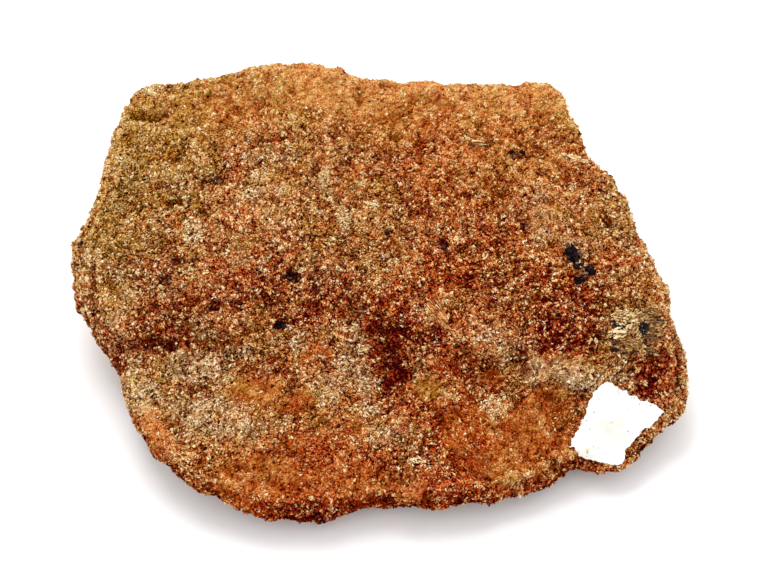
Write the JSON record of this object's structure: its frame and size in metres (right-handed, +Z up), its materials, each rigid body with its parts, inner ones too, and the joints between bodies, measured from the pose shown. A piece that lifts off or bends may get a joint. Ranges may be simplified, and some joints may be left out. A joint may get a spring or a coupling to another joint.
{
  "type": "bronzite rock specimen",
  "caption": "Rough hand specimen of rusty brown bronzite rock with muscovite flakes, flat below, with a stepped sloping top and a blank white paint label on its front corner.",
  "frame": {"origin": "on the base plane, under the middle of the bounding box", "axes": "+Z up from the flat base, +X to the right of the labelled front, +Y to the high back edge"},
  "size_m": [0.12, 0.0884, 0.0405],
  "materials": {
    "rock_surface": "rough weathered granular rock, rust brown with dark gaps, buff patches and glinting mica",
    "label_paint": "matt white paint, brushed on thinly, blank"
  },
  "bodies": {
    "root": {"rock": "rock_surface", "label": "label_paint"}
  },
  "joints": []
}
